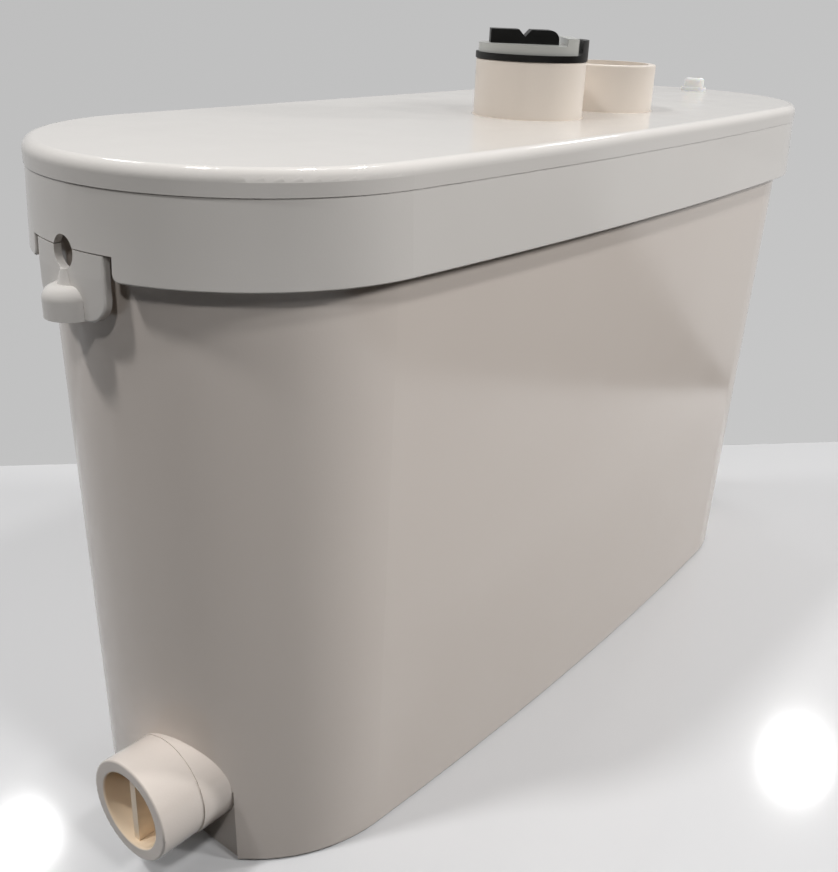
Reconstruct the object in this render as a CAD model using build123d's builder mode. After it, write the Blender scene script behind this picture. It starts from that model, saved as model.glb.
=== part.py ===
from build123d import *
import math
import os

# A low sewage lifting unit: a tank with a lift-off lid, a pump, its pipework and its switchgear.
# All lengths are in millimetres. X runs along the unit, -Y is the bowed front, +Z is up.
# The origin is on the floor under the middle of the lid's outline.

# Lid and tank outline
lid_length = 440.0
lid_width = 156.0
front_bow = 4.6
lid_top = 261.0
skirt_depth = 35.0
rim_band = 8.0
rim_overhang = 0.3
skirt_draft = 1.2
lid_wall = 2.6
lid_plate = 3.0
lid_edge_radius = 3.8
locating_rib = 1.5
locating_rib_depth = 7.0
fit_gap = 0.5

# Tank shell
tank_inset_base = 10.2
tank_inset_rim = 5.4
tank_wall = 3.0
tank_floor = 4.0
tank_edge_radius = 1.5
seal_height = 4.0
seal_width = 3.4
foot_radius = 9.0
foot_depth = 2.0
foot_from_end = 70.0
foot_from_side = 37.7

# Side inlets at the foot of both ends
inlet_y = -15.0
inlet_z = 34.0
inlet_radius = 20.0
inlet_bore_radius = 15.0
inlet_reach = 9.0
inlet_tail = 30.0
inlet_shoulder = 0.5
inlet_shoulder_setback = 9.0
inlet_mouth_rounding = 0.8
inlet_rib = 3.0
inlet_rib_depth = 14.0
inlet_rib_setback = 2.5
recess_depth = 24.0
recess_gap = 1.0

# Inlet flap valves
seat_rim = 3.5
seat_thickness = 3.0
flap_thickness = 2.5
flap_lap = 2.0
flap_gap = 0.3
hinge_pin_radius = 1.5
hinge_lug = 3.0
hinge_half_width = 6.0
hinge_lug_wall = 2.0
hinge_barrel_wall = 1.5
pin_running_gap = 0.1

# Latches at both ends of the lid
latch_y = 5.2
latch_width = 35.6
latch_drop = 14.0
latch_slot = 3.0
latch_slot_top = 7.5
latch_corner = 8.0
latch_hole_radius = 5.2
latch_hole_rise = 6.0
latch_hinge_gap = 0.4
ledge_radius = 8.5
ledge_reach = 7.0
ledge_height = 10.2
ledge_rounding = 4.5
ramp_foot_radius = 3.4
ramp_tip_radius = 1.6
ramp_height = 6.5
latch_rounding = 0.8
barb_reach = 2.0
barb_height = 3.0
barb_half_width = 5.0
catch_height = 3.0
catch_clearance = 0.3
skirt_corner = 2.5
skirt_rounding = 0.6

# Spigots on the lid
discharge_from_pump = 114.0
discharge_y = -16.6
discharge_radius = 23.0
discharge_height = 22.5
spigot_spacing = 59.0
top_inlet_y = -19.5
top_inlet_radius = 22.0
top_inlet_height = 20.0
spigot_wall = 3.2
spigot_flange = 4.5
spigot_flange_thickness = 2.5
spigot_seal_thickness = 1.5
spigot_shoulder = 0.6
spigot_lip_radius = 0.8
spigot_seal_setback = 0.8
slip_gap = 0.1

# Pipework inside
pipe_radius = 16.0
pipe_bore_radius = 12.5
tail_drop = 20.0
top_tail_drop = 4.0
riser_drop = 23.0
sleeve_wall = 3.0
sleeve_length = 27.0
sleeve_gap = 1.0
clamp_wall = 1.0
clamp_width = 7.0
clamp_margin = 2.0
clamp_tail = 5.0
clamp_tail_half_width = 3.0
bend_radius = 26.0
outlet_sleeve_length = 22.0
valve_bottom = 112.0
valve_height = 50.0
valve_radius = 27.0
valve_wall = 3.5
valve_rounding = 2.8
valve_seat_lap = 2.5
valve_hinge_offset = 18.5

# Blanking plug on the discharge spigot
plug_turn = -52.0
plug_overlap = 0.3
plug_flange = 2.4
plug_depth = 8.0
plug_lip_width = 3.6
plug_lip_height = 5.8
plug_lip_rounding = 2.0
plug_plate_thickness = 3.6
plug_plate_margin = 1.0
plug_plate_end_width = 5.0
plug_plate_end_height = 2.8
grip_length = 28.0
grip_width = 15.0
grip_height = 5.4
grip_shift = -3.8
grip_rounding = 3.6
grip_notch_width = 5.0
grip_notch_depth = 2.7

# Cable gland near the right end of the lid
gland_from_end = 21.0
gland_y = 4.0
gland_radius = 5.5
gland_stem_radius = 4.5
gland_height = 7.0
gland_base_radius = 7.0
gland_base_height = 2.0
gland_bore_radius = 3.2
gland_rounding = 1.5
gland_nut_width = 12.0
gland_nut_height = 4.0

# Pump
pump_from_end = 112.0
pump_outlet_offset = 25.0
damper_radius = 7.0
damper_height = 10.0
damper_circle = 34.0
damper_count = 3
damper_start = 45.0
suction_plate_thickness = 4.0
suction_hole_radius = 16.0
cutter_ring_wall = 2.5
strainer_radius = 24.0
strainer_wall = 2.0
strainer_slot = 4.0
strainer_slots = 12
volute_radius = 48.0
volute_cavity_radius = 39.0
volute_cavity_height = 31.0
volute_top = 4.0
volute_stub = 22.0
outlet_lift = 1.5
impeller_radius = 34.0
impeller_disc = 3.0
impeller_vane = 2.5
impeller_vane_height = 9.0
impeller_vanes = 6
impeller_vane_angle = 12.0
impeller_vane_setback = 0.5
impeller_hub_radius = 8.0
impeller_head_gap = 3.0
blade_length = 25.0
blade_width = 7.0
blade_thickness = 2.5
blade_hub_radius = 5.6
nut_width = 13.0
nut_height = 5.0
casing_screw_radius = 2.0
casing_screw_circle = 43.5
casing_screw_head = 3.6
casing_screw_head_height = 2.9
casing_screws_count = 4

# Motor
seal_plate_radius = 50.0
seal_plate_thickness = 8.0
shaft_radius = 4.0
shaft_mid_radius = 6.0
shaft_running_gap = 0.05
shaft_hole_gap = 1.0
shaft_end_stand = 1.0
face_seal_radius = 10.0
face_seal_height = 6.0
bearing_radius = 13.0
bearing_height = 9.0
bearing_wall = 3.0
can_radius = 45.0
can_wall = 2.5
can_head_gap = 8.0
end_bell_thickness = 8.0
end_bell_boss = 11.0
air_gap = 0.7
rotor_radius = 23.5
stack_height = 62.0
stator_slots = 12
stator_slot_width = 4.5
stator_slot_depth = 11.0
winding_height = 11.0
winding_radial = 12.0
winding_setback = 1.5
motor_gland_radius = 6.0
motor_gland_height = 5.0

# Inner cover and what stands on it
inner_cover_drop = 40.0
inner_cover_thickness = 3.0
boss_radius = 6.0
boss_height = 24.0
boss_sink = 1.6
boss_from_end = 80.0
cover_screw_radius = 1.7
cover_screw_head = 3.5
cover_screw_head_height = 2.2
grommet_flange = 4.4
grommet_lap = 2.0
dip_tube_from_discharge = 66.0
dip_tube_y = 18.0
dip_tube_radius = 17.0
dip_tube_wall = 2.0
dip_tube_foot_gap = 16.0
dip_tube_flange = 6.0
dip_tube_flange_thickness = 4.0
dip_tube_neck_radius = 5.0
dip_tube_neck_bore = 2.0
dip_tube_neck_rise = 5.3
switch_radius = 21.0
switch_height = 16.0
switch_cap_radius = 14.0
switch_cap_height = 7.0
switch_rounding = 1.5
terminal_height = 7.0
terminal_pitch = 6.0
terminal_half_thickness = 0.4
terminal_half_width = 3.0
capacitor_from_end = 70.0
capacitor_from_back = 44.0
capacitor_radius = 14.0
capacitor_length = 56.0
capacitor_rounding = 1.5
post_radius = 1.6
post_length = 6.0
post_offset = 5.0
clip_width = 14.0
clip_wall = 1.5
clip_foot = 8.0
box_from_end = 108.0
box_from_front = 52.0
box_length = 64.0
box_width = 44.0
box_height = 22.0
box_wall = 2.0
box_cover_thickness = 2.5
box_cover_rounding = 1.0
lead_radius = 3.5
lead_grommet_radius = 6.0

# Vent filter behind the lid's skirt
vent_from_end = 150.0
vent_radius = 9.0
vent_hole_radius = 5.0
vent_holder_wall = 1.6
vent_depth = 9.0
vent_below_rim = 15.0

# How far a cut runs past the face that it opens, and the sides of a nut
cut_past = 1.0
nut_sides_count = 6

# Values that follow from the ones above
half_length = lid_length / 2
half_width = lid_width / 2
end_radius = (lid_width - front_bow) / 2
end_x = half_length - end_radius
end_y = half_width - end_radius
bow_radius = (end_x**2 + (lid_width - end_radius) ** 2 - end_radius**2) / (2 * front_bow)
bow_y = bow_radius - half_width
skirt_bottom = lid_top - skirt_depth
rim_bottom = lid_top - rim_band
lid_underside = lid_top - lid_plate
tank_rim = lid_underside - seal_height
foot_x = half_length - foot_from_end
foot_y = end_radius - foot_from_side
boss_x = half_length - boss_from_end
gland_x = half_length - gland_from_end
pump_x = half_length - pump_from_end
discharge_x = pump_x - discharge_from_pump
top_inlet_x = discharge_x + spigot_spacing
dip_tube_x = discharge_x - dip_tube_from_discharge
vent_x = vent_from_end - half_length
capacitor_x = half_length - capacitor_from_end
capacitor_y = half_width - capacitor_from_back
box_x = half_length - box_from_end
box_y = box_from_front - half_width

latch_bottom = skirt_bottom - latch_drop
latch_hinge_z = skirt_bottom + latch_slot_top
latch_hole_z = skirt_bottom + latch_hole_rise
latch_low_y = latch_y - latch_width / 2
latch_high_y = latch_y + latch_width / 2
barb_low = latch_bottom + catch_clearance
catch_low = barb_low + barb_height + catch_clearance
catch_tip_x = half_length - lid_wall - barb_reach - catch_clearance

inlet = (inlet_y, inlet_z)
inlet_inner_x = half_length - inlet_tail
recess_x = half_length - recess_depth
inlet_mouth_x = half_length + inlet_reach
inlet_shoulder_x = half_length - inlet_shoulder_setback
seat_face_x = inlet_inner_x - seat_thickness
flap_radius = inlet_bore_radius + flap_lap
flap_pin_x = seat_face_x - hinge_pin_radius - hinge_lug_wall
flap_pin_z = inlet_z + flap_radius + hinge_pin_radius + hinge_lug_wall
ear_inner = hinge_half_width + pin_running_gap
ear_outer = ear_inner + hinge_lug
barrel_radius = hinge_pin_radius + hinge_barrel_wall

discharge = (discharge_x, discharge_y)
top_inlet = (top_inlet_x, top_inlet_y)
spigot_seal_low = lid_underside - spigot_seal_thickness
spigot_flange_low = spigot_seal_low - spigot_flange_thickness
discharge_top = lid_top + discharge_height
top_inlet_top = lid_top + top_inlet_height

inner_cover_z = tank_rim - inner_cover_drop
inner_cover_top = inner_cover_z + inner_cover_thickness
tail_bottom = tank_rim - tail_drop
riser_top = tank_rim - riser_drop
grommet_top = inner_cover_top + grommet_lap
sleeve_low = grommet_top + sleeve_gap
valve_top = valve_bottom + valve_height
valve_pin_x = discharge_x + valve_hinge_offset
valve_pin_z = valve_bottom + valve_wall + hinge_pin_radius + hinge_lug_wall

pump_y = discharge_y + pump_outlet_offset
pump = (pump_x, pump_y)
plate_low = tank_floor + damper_height
volute_low = plate_low + suction_plate_thickness
cavity_top = volute_low + volute_cavity_height
volute_high = cavity_top + volute_top
outlet_z = volute_low + outlet_lift + pipe_radius
stub_x = pump_x - volute_radius - volute_stub
seal_plate_top = volute_high + seal_plate_thickness
impeller_top = cavity_top - impeller_head_gap
vane_low = impeller_top - impeller_disc - impeller_vane_height
hub_low = vane_low - impeller_disc
blade_low = hub_low - blade_thickness
nut_low = blade_low - nut_height

can_low = seal_plate_top
bell_top = inner_cover_z - can_head_gap
bell_low = bell_top - end_bell_thickness
lower_bearing_z = can_low + can_wall
upper_bearing_z = bell_low - end_bell_boss
stack_middle = (lower_bearing_z + bearing_height + upper_bearing_z) / 2
stack_low = stack_middle - stack_height / 2
stack_high = stack_middle + stack_height / 2
stator_inner = rotor_radius + air_gap
stator_outer = can_radius - can_wall

vent_z = tank_rim - vent_below_rim
lead = (box_x, pump_y - rotor_radius - motor_gland_radius)
PARTS = "parts"


def tank_inset(height):
    """How far the tank's outer face stands inside the lid's outline at this height."""
    return tank_inset_base + (tank_inset_rim - tank_inset_base) * height / tank_rim


def front_face_y(x, inset):
    """Where the bowed front lies at this x, for an outline with this inset."""
    return bow_y - math.sqrt((bow_radius - inset) ** 2 - x**2)


def outline(inset):
    """The plan shape, drawn this far inside the lid: flat back, round ends, bowed front."""
    round_r = end_radius - inset
    back_y = half_width - inset
    reach = math.hypot(end_x, end_y - bow_y)
    join_x = (bow_radius - inset) * end_x / reach
    join_y = bow_y + (bow_radius - inset) * (end_y - bow_y) / reach
    with BuildSketch() as plan:
        with BuildLine():
            Line((-end_x, back_y), (end_x, back_y))
            ThreePointArc((end_x, back_y), (end_x + round_r, end_y), (join_x, join_y))
            ThreePointArc((join_x, join_y), (0, inset - half_width), (-join_x, join_y))
            ThreePointArc((-join_x, join_y), (-end_x - round_r, end_y), (-end_x, back_y))
        make_face()
    return plan.sketch


def tapered(low, low_inset, high, high_inset):
    """A closed block of the plan shape whose inset changes evenly from low to high."""
    with BuildPart() as body:
        with BuildSketch(Plane.XY.offset(low)):
            add(outline(low_inset))
        with BuildSketch(Plane.XY.offset(high)):
            add(outline(high_inset))
        loft(ruled=True)
    return body.part


def upright(centre, radius, low, high, mode=Mode.ADD):
    """Adds or cuts an upright round in the piece being built."""
    with Locations((centre[0], centre[1], (low + high) / 2)):
        Cylinder(radius, high - low, mode=mode)


def along_x(centre, radius, near, far, mode=Mode.ADD):
    """Adds or cuts a round that lies along X in the piece being built; centre is its y and z."""
    with Locations(((near + far) / 2, centre[0], centre[1])):
        Cylinder(radius, abs(far - near), rotation=(0, 90, 0), mode=mode)


def along_y(centre, radius, near, far, mode=Mode.ADD):
    """Adds or cuts a round that lies along Y in the piece being built; centre is its x and z."""
    with Locations((centre[0], (near + far) / 2, centre[1])):
        Cylinder(radius, abs(far - near), rotation=(90, 0, 0), mode=mode)


def block(x_span, y_span, z_span, mode=Mode.ADD):
    """Adds or cuts a plain block, given its two ends along x, y and z."""
    spans = (x_span, y_span, z_span)
    middle = tuple((span[0] + span[1]) / 2 for span in spans)
    sizes = tuple(abs(span[1] - span[0]) for span in spans)
    with Locations(middle):
        Box(*sizes, mode=mode)


def recess_span(extra):
    """The y span of the recess under an inlet, with extra added on each side."""
    half = inlet_radius + recess_gap + extra
    return (inlet_y - half, inlet_y + half)


def centred(middle, half):
    """A span of twice half about middle."""
    return (middle - half, middle + half)


# Tank: a drafted shell with a recess under each inlet, catches for the latches and screw bosses
boss_inset = tank_inset(inner_cover_z - boss_height) + tank_wall - boss_sink + boss_radius
boss_places = [(x, half_width - boss_inset) for x in (-boss_x, 0, boss_x)]
boss_places += [(x, front_face_y(x, boss_inset)) for x in (-boss_x, 0, boss_x)]
foot_places = [(x * foot_x, end_y + y * foot_y) for x in (-1, 1) for y in (-1, 1)]

with BuildPart() as chamber:
    floor_inset = tank_inset(tank_floor) + tank_wall
    add(tapered(tank_floor, floor_inset, tank_rim, tank_inset_rim + tank_wall))
    for side in (-1, 1):
        wall_x = side * (recess_x - tank_wall)
        top = inlet_z + tank_wall
        block((wall_x, side * half_length), recess_span(tank_wall), (0, top), mode=Mode.SUBTRACT)

with BuildPart() as tank:
    add(tapered(0, tank_inset_base, tank_rim, tank_inset_rim))
    fillet(tank.faces().sort_by(Axis.Z)[0].edges(), tank_edge_radius)
    for side in (-1, 1):
        far_x = side * half_length
        block((side * recess_x, far_x), recess_span(0), (0, inlet_z), mode=Mode.SUBTRACT)
        root_x = side * (half_length - tank_inset_base - tank_wall / 2)
        catch_y = centred(latch_y, barb_half_width)
        block((root_x, side * catch_tip_x), catch_y, (catch_low, catch_low + catch_height))
    add(chamber.part, mode=Mode.SUBTRACT)
    for side in (-1, 1):
        inner_x = side * inlet_inner_x
        mouth_x = side * inlet_mouth_x
        along_x(inlet, inlet_radius + inlet_shoulder, inner_x, side * inlet_shoulder_x)
        along_x(inlet, inlet_radius, inner_x, mouth_x)
        through = (inner_x - side * cut_past, mouth_x + side * cut_past)
        along_x(inlet, inlet_bore_radius, *through, mode=Mode.SUBTRACT)
        mouth_edges = tank.faces().sort_by(Axis.X)[-1 if side > 0 else 0].edges()
        fillet(mouth_edges, inlet_mouth_rounding)
        rib_x = side * (inlet_mouth_x - inlet_rib_setback)
        rib_z = centred(inlet_z, (inlet_radius + inlet_bore_radius) / 2)
        block((rib_x - side * inlet_rib_depth, rib_x), centred(inlet_y, inlet_rib / 2), rib_z)
    for place in boss_places:
        upright(place, boss_radius, inner_cover_z - boss_height, inner_cover_z)
        screw_low = inner_cover_z - boss_height / 2
        upright(place, cover_screw_radius, screw_low, inner_cover_z, mode=Mode.SUBTRACT)
    for place in foot_places:
        upright(place, foot_radius, 0, foot_depth, mode=Mode.SUBTRACT)
    vent_face_y = half_width - tank_inset(vent_z)
    vent_wall = (vent_face_y - tank_wall - cut_past, vent_face_y + cut_past)
    along_y((vent_x, vent_z), vent_hole_radius, *vent_wall, mode=Mode.SUBTRACT)

with BuildPart() as foot_pads:
    for place in foot_places:
        upright(place, foot_radius - slip_gap, 0, foot_depth)

with BuildPart() as vent_filter:
    vent_back_y = half_width - tank_inset(vent_z - vent_radius) - tank_wall
    vent_span = (vent_back_y - vent_depth, vent_back_y)
    along_y((vent_x, vent_z), vent_radius, *vent_span)
    well = (vent_back_y - vent_holder_wall, vent_back_y)
    along_y((vent_x, vent_z), vent_hole_radius, *well, mode=Mode.SUBTRACT)


# Inlet flap valves: a seat ring on each stub, a pin between its ears and a rubber flap
def make_inlet_seat(side):
    """The ring on the inner end of an inlet, with two ears for the pin."""
    with BuildPart() as seat:
        along_x(inlet, inlet_radius + seat_rim, side * seat_face_x, side * inlet_inner_x)
        ear_end_x = flap_pin_x - barrel_radius
        for ear in (-1, 1):
            ear_y = (inlet_y + ear * ear_inner, inlet_y + ear * ear_outer)
            block((side * ear_end_x, side * inlet_inner_x), ear_y, centred(flap_pin_z, barrel_radius))
        through = (side * (seat_face_x - cut_past), side * (inlet_inner_x + cut_past))
        along_x(inlet, inlet_bore_radius, *through, mode=Mode.SUBTRACT)
        pin_span = centred(inlet_y, ear_outer + cut_past)
        pin_at = (side * flap_pin_x, flap_pin_z)
        along_y(pin_at, hinge_pin_radius, *pin_span, mode=Mode.SUBTRACT)
    return seat


def make_inlet_flap(side):
    """The rubber disc that swings inwards off its seat, with the barrel that it hangs from."""
    pin_at = (side * flap_pin_x, flap_pin_z)
    face_x = side * (seat_face_x - flap_gap)
    back_x = face_x - side * flap_thickness
    with BuildPart() as flap:
        along_x(inlet, flap_radius, back_x, face_x)
        neck_z = (inlet_z, flap_pin_z)
        block((back_x, face_x), centred(inlet_y, hinge_half_width), neck_z)
        along_y(pin_at, barrel_radius, *centred(inlet_y, hinge_half_width))
        bore = hinge_pin_radius + pin_running_gap
        along_y(pin_at, bore, *centred(inlet_y, ear_outer), mode=Mode.SUBTRACT)
    return flap


def make_flap_pin(side):
    """The steel pin between the ears of a seat."""
    with BuildPart() as pin:
        along_y((side * flap_pin_x, flap_pin_z), hinge_pin_radius, *centred(inlet_y, ear_outer))
    return pin


# Pump: dampers, strainer, suction plate, volute and seal plate
with BuildPart() as pump_dampers:
    with BuildSketch(Plane.XY.offset(tank_floor)):
        with Locations(pump):
            with PolarLocations(damper_circle, damper_count, start_angle=damper_start):
                Circle(damper_radius)
    extrude(amount=damper_height)

with BuildPart() as suction_strainer:
    upright(pump, strainer_radius, tank_floor, plate_low)
    upright(pump, strainer_radius - strainer_wall, tank_floor, plate_low, mode=Mode.SUBTRACT)
    with Locations((*pump, tank_floor + damper_height / 2)):
        with PolarLocations(strainer_radius, strainer_slots):
            Box(4 * strainer_wall, strainer_slot, damper_height / 2, mode=Mode.SUBTRACT)

with BuildPart() as cutter_ring:
    cutter_ring_inner = suction_hole_radius - cutter_ring_wall
    upright(pump, suction_hole_radius - slip_gap, plate_low, hub_low)
    upright(pump, cutter_ring_inner, plate_low, hub_low, mode=Mode.SUBTRACT)

screw_hole_radius = casing_screw_radius + slip_gap

with BuildPart() as suction_plate:
    with BuildSketch(Plane.XY.offset(plate_low)):
        with Locations(pump):
            Circle(volute_radius)
            Circle(suction_hole_radius, mode=Mode.SUBTRACT)
            with PolarLocations(casing_screw_circle, casing_screws_count):
                Circle(screw_hole_radius, mode=Mode.SUBTRACT)
    extrude(amount=suction_plate_thickness)

with BuildPart() as pump_volute:
    outlet = (discharge_y, outlet_z)
    upright(pump, volute_radius, volute_low, volute_high)
    along_x(outlet, pipe_radius, stub_x, pump_x)
    upright(pump, volute_cavity_radius, volute_low, cavity_top, mode=Mode.SUBTRACT)
    along_x(outlet, pipe_bore_radius, stub_x - cut_past, pump_x, mode=Mode.SUBTRACT)
    upright(pump, face_seal_radius, cavity_top, volute_high, mode=Mode.SUBTRACT)
    with Locations((*pump, (volute_low + volute_high) / 2)):
        with PolarLocations(casing_screw_circle, casing_screws_count):
            Cylinder(screw_hole_radius, volute_high - volute_low, mode=Mode.SUBTRACT)

with BuildPart() as seal_plate:
    seal_pocket_top = volute_high + face_seal_height
    upright(pump, seal_plate_radius, volute_high, seal_plate_top)
    upright(pump, face_seal_radius, volute_high, seal_pocket_top, mode=Mode.SUBTRACT)
    upright(pump, shaft_radius + shaft_hole_gap, volute_high, seal_plate_top, mode=Mode.SUBTRACT)
    with Locations((*pump, (volute_high + seal_pocket_top) / 2)):
        with PolarLocations(casing_screw_circle, casing_screws_count):
            Cylinder(screw_hole_radius, face_seal_height, mode=Mode.SUBTRACT)

with BuildPart() as casing_screws:
    head_low = plate_low - casing_screw_head_height
    for low, high, radius in (
        (head_low, plate_low, casing_screw_head),
        (head_low, seal_pocket_top, casing_screw_radius),
    ):
        with Locations((*pump, (low + high) / 2)):
            with PolarLocations(casing_screw_circle, casing_screws_count):
                Cylinder(radius, high - low)

with BuildPart() as shaft_seal:
    upright(pump, face_seal_radius - slip_gap, volute_high, seal_pocket_top)
    upright(pump, shaft_radius + shaft_running_gap, volute_high, seal_pocket_top, mode=Mode.SUBTRACT)

# Rotating parts: shaft, rotor, impeller, cutting blade and nut
with BuildPart() as motor_shaft:
    lower_step = lower_bearing_z + bearing_height
    upper_step = upper_bearing_z
    upright(pump, shaft_radius, nut_low - shaft_end_stand, upper_bearing_z + end_bell_boss)
    upright(pump, shaft_mid_radius, lower_step, upper_step)

with BuildPart() as rotor_core:
    upright(pump, rotor_radius, stack_low, stack_high)
    upright(pump, shaft_mid_radius, stack_low, stack_high, mode=Mode.SUBTRACT)

with BuildPart() as impeller:
    with BuildSketch(Plane.XY.offset(impeller_top - impeller_disc)):
        with Locations(pump):
            Circle(impeller_radius)
    extrude(amount=impeller_disc)
    with BuildSketch(Plane.XY.offset(vane_low)):
        with Locations(pump):
            vane_run = impeller_radius - impeller_hub_radius
            with PolarLocations((impeller_radius + impeller_hub_radius) / 2, impeller_vanes):
                Rectangle(vane_run, impeller_vane, rotation=impeller_vane_angle)
            Circle(impeller_radius - impeller_vane_setback, mode=Mode.INTERSECT)
    extrude(amount=impeller_vane_height)
    upright(pump, impeller_hub_radius, hub_low, impeller_top)
    upright(pump, shaft_radius, hub_low, impeller_top, mode=Mode.SUBTRACT)

with BuildPart() as cutter_blade:
    with BuildSketch(Plane.XY.offset(blade_low)):
        with Locations(pump):
            Rectangle(blade_length, blade_width)
            Circle(blade_length / 2, mode=Mode.INTERSECT)
            Circle(blade_hub_radius)
            Circle(shaft_radius, mode=Mode.SUBTRACT)
    extrude(amount=blade_thickness)

with BuildPart() as impeller_nut:
    with BuildSketch(Plane.XY.offset(nut_low)):
        with Locations(pump):
            RegularPolygon(nut_width / 2, nut_sides_count, major_radius=False)
            Circle(shaft_radius, mode=Mode.SUBTRACT)
    extrude(amount=nut_height)


# Motor: can, end bell, bearings, stator and winding
def make_bearing(low):
    """A ball bearing drawn as one ring, with the grooves between its races."""
    race = (bearing_radius - shaft_radius) / 3
    groove = bearing_height / 6
    with BuildPart() as bearing:
        upright(pump, bearing_radius, low, low + bearing_height)
        upright(pump, shaft_radius + shaft_running_gap, low, low + bearing_height, mode=Mode.SUBTRACT)
        for face in (low, low + bearing_height - groove):
            with BuildSketch(Plane.XY.offset(face)):
                with Locations(pump):
                    Circle(bearing_radius - race)
                    Circle(shaft_radius + race, mode=Mode.SUBTRACT)
            extrude(amount=groove, mode=Mode.SUBTRACT)
    return bearing


lower_bearing = make_bearing(lower_bearing_z)
upper_bearing = make_bearing(upper_bearing_z)
bearing_boss = bearing_radius + bearing_wall

with BuildPart() as motor_can:
    upright(pump, can_radius, can_low, bell_low)
    upright(pump, stator_outer, can_low + can_wall, bell_low, mode=Mode.SUBTRACT)
    upright(pump, bearing_boss, can_low, lower_bearing_z + bearing_height)
    upright(pump, bearing_radius, lower_bearing_z, bell_low, mode=Mode.SUBTRACT)
    upright(pump, shaft_radius + shaft_hole_gap, can_low, lower_bearing_z, mode=Mode.SUBTRACT)

with BuildPart() as motor_end_bell:
    bell_middle = (bell_low + bell_top) / 2
    upright(pump, can_radius, bell_low, bell_top)
    top_edge = motor_end_bell.faces().sort_by(Axis.Z)[-1].edges()
    fillet(top_edge, end_bell_thickness / 3)
    upright(pump, bearing_boss, upper_bearing_z, bell_low)
    upright(pump, bearing_radius, upper_bearing_z, upper_bearing_z + bearing_height, mode=Mode.SUBTRACT)
    upright(pump, shaft_radius + shaft_hole_gap, upper_bearing_z, bell_middle, mode=Mode.SUBTRACT)
    upright(lead, motor_gland_radius, bell_top, bell_top + motor_gland_height)
    upright(lead, lead_radius, bell_middle, bell_top + motor_gland_height, mode=Mode.SUBTRACT)

slot_middle = stator_inner + winding_setback + stator_slot_depth / 2
with BuildPart() as stator_core:
    with BuildSketch(Plane.XY.offset(stack_low)):
        with Locations(pump):
            Circle(stator_outer - slip_gap)
            Circle(stator_inner, mode=Mode.SUBTRACT)
            with PolarLocations(slot_middle, stator_slots):
                Rectangle(stator_slot_depth, stator_slot_width, mode=Mode.SUBTRACT)
    extrude(amount=stack_height)

with BuildPart() as stator_winding:
    slot_fill = 2 * slip_gap
    bar_reach = stack_height + 2 * winding_setback
    with BuildSketch(Plane.XY.offset(stack_low - winding_setback)):
        with Locations(pump):
            with PolarLocations(slot_middle, stator_slots):
                Rectangle(stator_slot_depth - slot_fill, stator_slot_width - slot_fill)
    extrude(amount=bar_reach)
    for low in (stack_low - winding_setback - winding_height, stack_high + winding_setback):
        with BuildSketch(Plane.XY.offset(low)):
            with Locations(pump):
                Circle(slot_middle + winding_radial / 2)
                Circle(slot_middle - winding_radial / 2, mode=Mode.SUBTRACT)
        extrude(amount=winding_height)

# Discharge pipework: bend from the pump, check valve, riser, sleeves and clamps
with BuildPart() as discharge_pipe:
    with BuildLine():
        run = (stub_x, discharge_y, outlet_z)
        turn = (discharge_x, discharge_y, outlet_z)
        end = (discharge_x, discharge_y, valve_bottom)
        FilletPolyline(run, turn, end, radius=bend_radius)
    with BuildSketch(Plane(origin=run, z_dir=(-1, 0, 0))):
        Circle(pipe_radius)
        Circle(pipe_bore_radius, mode=Mode.SUBTRACT)
    sweep()

with BuildPart() as check_valve_body:
    valve_inner = valve_radius - valve_wall
    upright(discharge, valve_radius, valve_bottom, valve_top)
    fillet(check_valve_body.edges().filter_by(GeomType.CIRCLE), valve_rounding)
    cavity_low = valve_bottom + valve_wall
    upright(discharge, valve_inner, cavity_low, valve_top - valve_wall, mode=Mode.SUBTRACT)
    upright(discharge, pipe_bore_radius, valve_bottom, valve_top, mode=Mode.SUBTRACT)
    for ear in (-1, 1):
        ear_y = (discharge_y + ear * ear_inner, discharge_y + ear * ear_outer)
        ear_x = centred(valve_pin_x, barrel_radius)
        block(ear_x, ear_y, (valve_bottom + valve_wall / 2, valve_pin_z + barrel_radius))
    valve_pin_at = (valve_pin_x, valve_pin_z)
    along_y(valve_pin_at, hinge_pin_radius, *centred(discharge_y, ear_outer), mode=Mode.SUBTRACT)

with BuildPart() as check_valve_flap:
    flap_low = cavity_low + flap_gap
    disc_radius = pipe_bore_radius + valve_seat_lap
    upright(discharge, disc_radius, flap_low, flap_low + flap_thickness)
    neck_y = centred(discharge_y, hinge_half_width)
    block((discharge_x, valve_pin_x), neck_y, (flap_low, flap_low + flap_thickness))
    along_y(valve_pin_at, barrel_radius, *neck_y)
    bore = hinge_pin_radius + pin_running_gap
    along_y(valve_pin_at, bore, *centred(discharge_y, ear_outer), mode=Mode.SUBTRACT)

with BuildPart() as check_valve_pin:
    along_y(valve_pin_at, hinge_pin_radius, *centred(discharge_y, ear_outer))

with BuildPart() as riser_pipe:
    upright(discharge, pipe_radius, valve_top, riser_top)
    upright(discharge, pipe_bore_radius, valve_top, riser_top, mode=Mode.SUBTRACT)

sleeve_inner = pipe_radius + slip_gap
sleeve_outer = sleeve_inner + sleeve_wall
with BuildPart() as riser_sleeve:
    upright(discharge, sleeve_outer, sleeve_low, sleeve_low + sleeve_length)
    upright(discharge, sleeve_inner, sleeve_low, sleeve_low + sleeve_length, mode=Mode.SUBTRACT)

outlet_sleeve_x = centred(stub_x, outlet_sleeve_length / 2)
with BuildPart() as outlet_sleeve:
    along_x(outlet, sleeve_outer, *outlet_sleeve_x)
    along_x(outlet, sleeve_inner, *outlet_sleeve_x, mode=Mode.SUBTRACT)

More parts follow.
